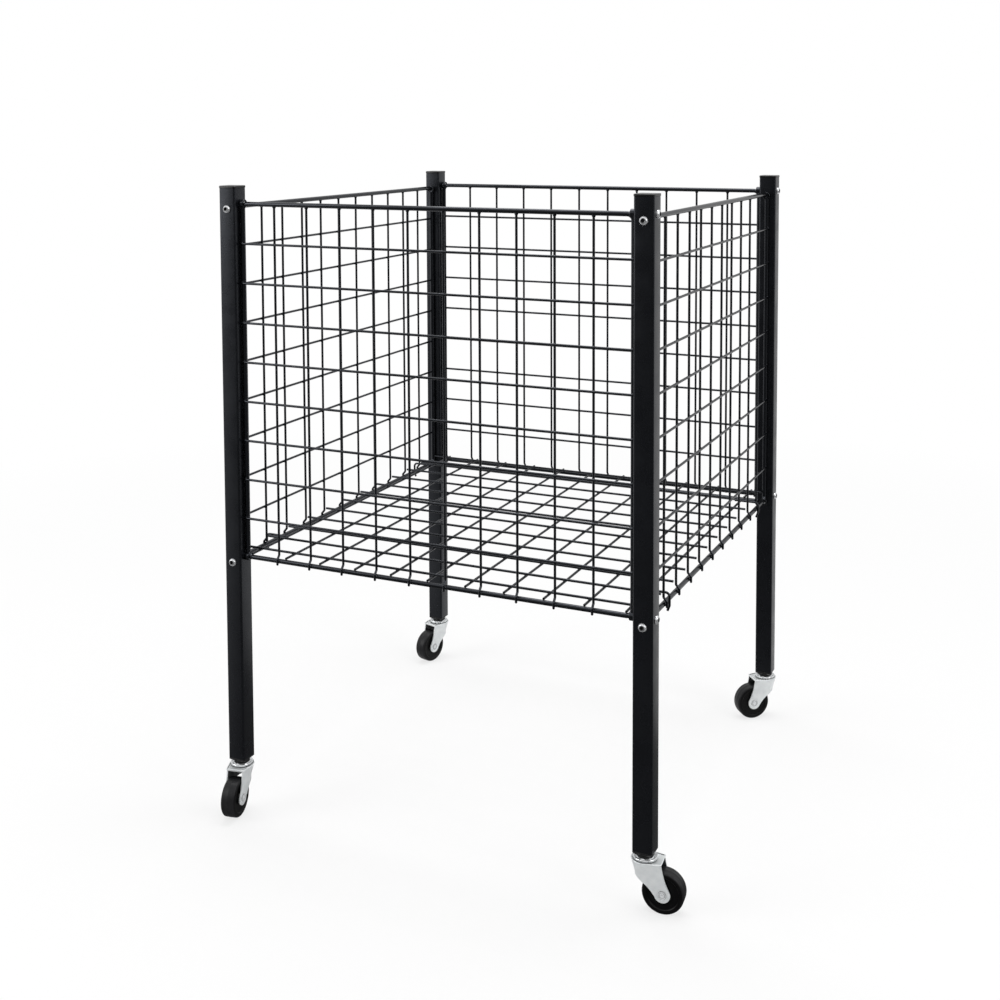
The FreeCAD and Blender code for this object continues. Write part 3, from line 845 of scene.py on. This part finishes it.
def turned_mesh(outline, sides=64):
    """A turned part about the Z axis from (radius, height) points, from its foot to its top."""
    rings = [circle_ring(max(radius, 1e-5), height, sides) for radius, height in outline]
    return skin(rings)


def stem_mesh(low, high):
    """The kingpin's head, the kingpin, the dished race and the stem, with painted shade at the race's foot
    and below it.
    """
    race_bottom = race_top - race_height
    outline = [
        (kingpin_head_radius - stem_lead, low), (kingpin_head_radius, low + stem_lead),
        (kingpin_head_radius, low + kingpin_head_height), (kingpin_radius, low + kingpin_head_height),
        (kingpin_radius, race_bottom),
    ]
    outline += [(race_radius - inset, race_bottom + height) for inset, height in race_rim]
    outline += [(radius, race_top - depth) for radius, depth in race_dish]
    outline += [(stem_radius, race_top), (stem_radius, high - stem_lead), (stem_radius - stem_lead, high)]
    shaded_below = race_bottom + race_shade_height
    return mark_points(
        turned_mesh(outline), "painted_shade", lambda radius, height: race_shade_level * (height < shaded_below)
    )


add_at_posts("_race", stem_mesh, race_zinc, "_caster_stem")


# ----------------------------------------------------------------------
# Swivel balls. Twelve hardened steel balls run between each race and the fork's crown; only
# glints of them show in the gap.

ball_steel = plated_steel(
    "ball_steel", tint=(0.80, 0.80, 0.81), shade=(0.68, 0.68, 0.70), roughness=0.10, cloud_scale=500.0
)
for corner in corners:
    balls = frame["nodes"][corner + "_swivel_balls"].data
    balls.materials.clear()
    balls.materials.append(ball_steel)


# ----------------------------------------------------------------------
# Caster forks. Pressed from 1.8 mm sheet steel and zinc plated: a round crown with a beaded edge,
# a skirt round its front, and two legs that reach back to the axle. The press rounds every edge.
# Painted shade darkens the crown under the race, the legs' faces towards the wheel and the crown's underside
# between the legs.

fork_edge = 0.00035
# Where the fork's painted shade goes: just under the crown's top, round the pivot, how dark, and how far
# either side of the wheel.
crown_skin = 0.0004
fork_shade_reach = 0.0152
fork_shade_level = 0.92
within_fork = 0.0105

fork_zinc = plated_steel(
    "fork_zinc", tint=(0.88, 0.905, 0.91), shade=(0.81, 0.84, 0.85),
    roughness=0.36, cloud_scale=120.0, metallic=0.3,
)
add_painted_shade(fork_zinc)


def pressed_sheet(node):
    """A copy of a node's mesh with its flat faces whole and its sharp edges rounded."""
    mesh = bmesh.new()
    mesh.from_mesh(frame["nodes"][node].data)
    bmesh.ops.remove_doubles(mesh, verts=mesh.verts, dist=2e-6)
    bmesh.ops.dissolve_limit(
        mesh, angle_limit=math.radians(0.6), verts=mesh.verts, edges=mesh.edges, use_dissolve_boundaries=False
    )
    sharp = [edge for edge in mesh.edges if edge.is_manifold and edge.calc_face_angle(0.0) > math.radians(40)]
    bmesh.ops.bevel(
        mesh, geom=sharp, offset=fork_edge, offset_type="OFFSET", segments=2, profile=0.5,
        affect="EDGES", clamp_overlap=True,
    )
    bmesh.ops.triangulate(mesh, faces=[face for face in mesh.faces if len(face.verts) > 4])
    data = bpy.data.meshes.new(node)
    mesh.to_mesh(data)
    mesh.free()
    return data


def wheel_axle(corner):
    """The middle of a wheel and the direction of its axle."""
    joint = next(joint for joint in frame["joints"] if joint["name"] == corner + "_wheel_roll")
    return Vector(joint["pos_m"]), Vector(joint["axis"])


def mark_fork_shade(mesh, corner, crown_top):
    """Marks a fork's painted shade: the crown under the race, the faces towards the wheel and the crown's
    underside.
    """
    pivot = post_axis(corner).xy
    wheel_middle, axle = wheel_axle(corner)
    painted_shade = mesh.attributes.new("painted_shade", "FLOAT", "FACE")
    for face in mesh.polygons:
        sideways = (face.center - wheel_middle).dot(axle)
        facing = face.normal.dot(axle)
        under_race = face.center.z > crown_top - crown_skin and (face.center.xy - pivot).length < fork_shade_reach
        within_legs = sideways * facing < 0 and abs(facing) > 0.5
        under_crown = face.normal.z < -0.5 and abs(sideways) < within_fork
        painted_shade.data[face.index].value = fork_shade_level if under_race or within_legs or under_crown else 0.0


for corner in corners:
    node = corner + "_caster_fork"
    mesh = pressed_sheet(node)
    mark_fork_shade(mesh, corner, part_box(node)[1].z)
    add_piece(corner + "_fork", mesh, fork_zinc, corner + "_swivel", [node])


# ----------------------------------------------------------------------
# Wheels. Solid hard-rubber wheels with a flat tread, rounded shoulders, a mould line round the
# middle, and a shallow hollow in each side round the hub.

wheel_radius = 0.0255
wheel_half_width = 0.0095
shoulder = 0.003
hub_radius = 0.0085
bore_radius = 0.00506
bore_edge = 0.0003
hollow_depth = 0.0016
# The wheel's side from the bore out, as radii and depths in from its face.
wheel_side = (
    (bore_radius, bore_edge), (bore_radius + bore_edge, 0.0), (hub_radius - 0.0004, 0.0),
    (hub_radius, 0.0004), (hub_radius + 0.0006, hollow_depth), (0.0175, hollow_depth), (0.0188, 0.0014),
    (0.0195, 0.0003), (0.0199, 0.0),
)
mould_line_height = 0.0001
mould_line_foot = 0.0007
mould_line_top = 0.0003
side_edge_radius = wheel_radius - shoulder + 0.001

rubber, rubber_shader = start_material("hard_rubber", roughness=0.36)
rubber_shader.inputs["Specular IOR Level"].default_value = 0.2
rubber_cloud = noise(rubber, 70.0, 5.0)
rubber_grain = noise(rubber, 1500.0, 3.0)
# The sides get a near-black colour and the tread a dark grey one: painted shade on the sides.
tread_colour = ramp(rubber, rubber_cloud, [(0.3, (0.010, 0.010, 0.011)), (0.72, (0.017, 0.017, 0.0183))])
painted_shade_side_colour = ramp(rubber, rubber_cloud, [(0.3, (0.0018, 0.0018, 0.002)), (0.72, (0.0034, 0.0034, 0.0037))])
rubber_colour = blend_where(rubber, "painted_shade_side", tread_colour, painted_shade_side_colour)
rubber.node_tree.links.new(rubber_colour, rubber_shader.inputs["Base Color"])
add_bump(rubber, rubber_shader, [(rubber_grain, 0.00003), (rubber_cloud, 0.00006)])


def wheel_mesh():
    """The wheel about the Z axis, from one side's hub round the tread to the other side."""
    half = wheel_half_width
    tread_radius = wheel_radius - mould_line_height
    side = [(bore_radius, 0.0)] + [(radius, half - depth) for radius, depth in wheel_side]
    for step in range(7):
        turn = math.radians(15 * step)
        radius = tread_radius - shoulder + shoulder * math.sin(turn)
        side.append((radius, half - shoulder + shoulder * math.cos(turn)))
    side += [(tread_radius, mould_line_foot), (wheel_radius, mould_line_top)]
    outline = side + [(radius, -height) for radius, height in reversed(side) if height > 0]
    data = skin([circle_ring(radius, height, 96) for radius, height in outline], closed=True)
    # Marks the sides, inside the shoulders, for their painted shade.
    return mark_points(data, "painted_shade_side", lambda radius, height: float(radius < side_edge_radius))


def on_axle(data, corner):
    """Lays a mesh made about the Z axis along a wheel's axle."""
    wheel_middle, axle = wheel_axle(corner)
    turn = Vector((0, 0, 1)).rotation_difference(axle).to_matrix().to_4x4()
    data.transform(Matrix.Translation(wheel_middle) @ turn)
    return data


for corner in corners:
    node = corner + "_wheel"
    mesh = on_axle(wheel_mesh(), corner)
    add_piece(corner + "_tyre", mesh, rubber, corner + "_wheel_set", [node], 30)


# ----------------------------------------------------------------------
# Wheel bushes and axle rivets. Each wheel turns on a moulded bush round a steel rivet, whose
# heads are spun over a ring groove on the outsides of the fork's legs.

rivet_radius = 0.003
rivet_head_radius = 0.005
rivet_reach = 0.0121
# A head from the shank out and over to the dimple, as radii and heights over the fork's leg.
rivet_head = (
    (rivet_radius, 0.0), (rivet_head_radius - 0.0002, 0.0), (rivet_head_radius, 0.0002),
    (rivet_head_radius - 0.0001, 0.0006), (rivet_head_radius - 0.0005, 0.0009), (0.0040, 0.0010),
    (0.0037, 0.0007), (0.0032, 0.0006), (0.0029, 0.0008), (0.0025, 0.0010), (0.0014, 0.0010),
    (0.0010, 0.0007),
)
# Radius bands of the head's rim and groove, which get painted shade.
rivet_rim = (0.00475, 0.00525)
rivet_groove = (0.00305, 0.00375)
bush_bore = 0.00306
bush_reach = 0.010
bush_edge = 0.0003

bush_plastic = moulded_plastic(
    "bush_nylon", colour=(0.02, 0.02, 0.021), worn=(0.03, 0.03, 0.031),
    roughness=0.40, texture_scale=2000.0, texture_depth=0.00002,
)
rivet_zinc = plated_steel(
    "rivet_zinc", tint=(0.88, 0.90, 0.91), shade=(0.80, 0.82, 0.84),
    roughness=0.2, cloud_scale=260.0, metallic=0.3,
)
add_painted_shade(rivet_zinc)


def rivet_mesh():
    """The rivet about the Z axis, with a grooved, slightly domed head at each end, and painted shade round
    each head's rim and in its groove.
    """
    head = [(radius, rivet_reach + height) for radius, height in rivet_head]
    outline = [(radius, -height) for radius, height in reversed(head)] + head

    # Painted shade: strongest round the head's rim, weaker in its groove.
    def painted_shade_at(radius, height):
        for (inner, outer), shade in ((rivet_rim, 0.85), (rivet_groove, 0.5)):
            if inner < radius < outer:
                return shade
        return 0.0

    return mark_points(turned_mesh(outline, 48), "painted_shade", painted_shade_at)


def bush_mesh():
    """The plain bush about the Z axis."""
    end = [
        (bush_bore, bush_reach), (bore_radius - bush_edge, bush_reach), (bore_radius, bush_reach - bush_edge)
    ]
    outline = [(radius, -height) for radius, height in end] + end[::-1]
    return skin([circle_ring(radius, height, 48) for radius, height in outline], closed=True)


for corner in corners:
    bush = on_axle(bush_mesh(), corner)
    wheel_set = corner + "_wheel_set"
    add_piece(corner + "_bush", bush, bush_plastic, wheel_set, [corner + "_wheel_bush"])
    rivet = on_axle(rivet_mesh(), corner)
    swivel = corner + "_swivel"
    add_piece(corner + "_rivet", rivet, rivet_zinc, swivel, [corner + "_axle_rivet"])


# ----------------------------------------------------------------------
# Studio: a plain white floor that keeps a soft shadow, a surround that is white overhead and pale
# behind the bin and to its left but dim on the camera's side, and three large soft lamps.

floor_size = 30.0
floor_white = 0.94
ambient_level = 0.5
dim_level = 0.12
bin_middle = (0.0, 0.0, 0.45)
# Sides of the surround: an axis, where on it the glow starts and is full, and its strength there.
surround_sides = (("Z", 0.1, 0.6, 1.0), ("Y", 0.1, 0.6, 0.65), ("X", -0.45, -0.85, 0.7))
# Two distances from the middle of the floor, and how much plain white the camera sees at each.
floor_fade = (0.6, 2.2, 0.72, 1.0)


def spread(tree, source, limits, kind="LINEAR"):
    """Turns a value between the first two limits into one between the last two."""
    node = put_node(tree, "ShaderNodeMapRange", {"interpolation_type": kind}, Value=source)
    for name, limit in zip(("From Min", "From Max", "To Min", "To Max"), limits):
        node.inputs[name].default_value = limit
    return node.outputs["Result"]


def surround_level(tree, direction):
    """How white the studio is in a direction."""
    unit = put_node(tree, "ShaderNodeVectorMath", {"operation": "NORMALIZE"}, _0=direction)
    parts = put_node(tree, "ShaderNodeSeparateXYZ", Vector=unit.outputs[0])
    brightest = dim_level
    for axis, starts, full, most in surround_sides:
        level = spread(tree, parts.outputs[axis], (starts, full, dim_level, most), "SMOOTHSTEP")
        brighter = put_node(tree, "ShaderNodeMath", {"operation": "MAXIMUM"}, _0=level, _1=brightest)
        brightest = brighter.outputs[0]
    return brightest


def white_glow(tree, kind, strength):
    """A plain white emission or background."""
    return put_node(tree, kind, Color=(1, 1, 1, 1), Strength=strength)


def blend(tree, share, first, second):
    """A mix of two shaders by a linked share."""
    return put_node(tree, "ShaderNodeMixShader", _0=share, _1=first.outputs[0], _2=second.outputs[0])


def studio_floor():
    """A wide white floor: plain white to the camera, but for the bin's soft shadow."""
    mesh = bpy.data.meshes.new("studio_floor")
    half = floor_size / 2
    square = [(-half, -half, 0), (half, -half, 0), (half, half, 0), (-half, half, 0)]
    mesh.from_pydata(square, [], [(0, 1, 2, 3)])
    floor = bpy.data.objects.new("studio_floor", mesh)
    bpy.context.scene.collection.objects.link(floor)
    material = bpy.data.materials.new("studio_white")
    material.use_nodes = True
    tree = material.node_tree
    tree.nodes.clear()
    diffuse = put_node(tree, "ShaderNodeBsdfDiffuse", Color=(floor_white, floor_white, floor_white, 1))
    place = put_node(tree, "ShaderNodeTexCoord").outputs["Object"]
    ray = put_node(tree, "ShaderNodeLightPath")

    reach = put_node(tree, "ShaderNodeVectorMath", {"operation": "LENGTH"}, _0=place)
    share = spread(tree, reach.outputs["Value"], floor_fade)
    seen = put_node(
        tree, "ShaderNodeMath", {"operation": "MULTIPLY"}, _0=ray.outputs["Is Camera Ray"], _1=share
    )
    shown = blend(tree, seen.outputs[0], diffuse, white_glow(tree, "ShaderNodeEmission", 1.0))

    from_bin = put_node(tree, "ShaderNodeVectorMath", {"operation": "SUBTRACT"}, _0=place, _1=bin_middle)
    mirrored = white_glow(tree, "ShaderNodeEmission", surround_level(tree, from_bin.outputs[0]))
    mix = blend(tree, ray.outputs["Is Glossy Ray"], shown, mirrored)
    put_node(tree, "ShaderNodeOutputMaterial", Surface=mix.outputs[0])
    mesh.materials.append(material)


def studio_world():
    """White all round for the camera, dim behind it in reflections, and an even soft light."""
    world = bpy.data.worlds.new("studio")
    bpy.context.scene.world = world
    world.use_nodes = True
    tree = world.node_tree
    tree.nodes.clear()
    ray = put_node(tree, "ShaderNodeLightPath")
    direction = put_node(tree, "ShaderNodeTexCoord").outputs["Generated"]
    mirrored = white_glow(tree, "ShaderNodeBackground", surround_level(tree, direction))
    ambient = white_glow(tree, "ShaderNodeBackground", ambient_level)
    lighting = blend(tree, ray.outputs["Is Glossy Ray"], ambient, mirrored)
    seen = put_node(
        tree, "ShaderNodeMath", {"operation": "MAXIMUM"},
        _0=ray.outputs["Is Camera Ray"], _1=ray.outputs["Is Transmission Ray"],
    )
    mix = blend(tree, seen.outputs[0], lighting, white_glow(tree, "ShaderNodeBackground", 1.0))
    put_node(tree, "ShaderNodeOutputWorld", Surface=mix.outputs[0])


def soft_lamp(name, place, width, height, power):
    """A rectangular soft lamp that points at the middle of the bin."""
    light = bpy.data.lights.new(name, "AREA")
    light.shape = "RECTANGLE"
    light.size = width
    light.size_y = height
    light.energy = power
    lamp = bpy.data.objects.new(name, light)
    bpy.context.scene.collection.objects.link(lamp)
    lamp.location = place
    lamp.rotation_euler = (Vector(bin_middle) - Vector(place)).to_track_quat("-Z", "Y").to_euler()


studio_floor()
studio_world()
soft_lamp("overhead_softbox", (0.0, 0.35, 3.0), 2.4, 1.0, 44.0)
soft_lamp("left_softbox", (-2.6, -2.2, 1.6), 1.8, 2.0, 36.0)
soft_lamp("right_softbox", (3.0, -0.6, 1.8), 1.6, 2.0, 26.0)


# ----------------------------------------------------------------------
# Camera: a little above the bin's rim, in front of it and to its right, turned left and tipped
# slightly down, with the lens shifted.

camera_place = Vector((0.78663, -1.75356, 0.92437))
camera_turn = math.radians(24.69)
camera_tip = math.radians(-3.81)
camera_roll = math.radians(-0.2)
focal_pixels = 1352.28
centre_pixel = (508.14, 214.13)
picture_pixels = 1000.0
sensor_width = 36.0
view_depth = 60.0

view = bpy.data.cameras.new("camera")
view.sensor_width = sensor_width
view.lens = focal_pixels * sensor_width / picture_pixels
view.shift_x = (picture_pixels / 2 - centre_pixel[0]) / picture_pixels
view.shift_y = (centre_pixel[1] - picture_pixels / 2) / picture_pixels
view.clip_end = view_depth
camera = bpy.data.objects.new("camera", view)
bpy.context.scene.collection.objects.link(camera)
level = Euler((math.pi / 2 + camera_tip, 0.0, camera_turn)).to_matrix()
rolled = (level @ Matrix.Rotation(camera_roll, 3, "Z")).to_4x4()
camera.matrix_world = Matrix.Translation(camera_place) @ rolled
bpy.context.scene.camera = camera
bpy.context.scene.view_settings.view_transform = "Standard"
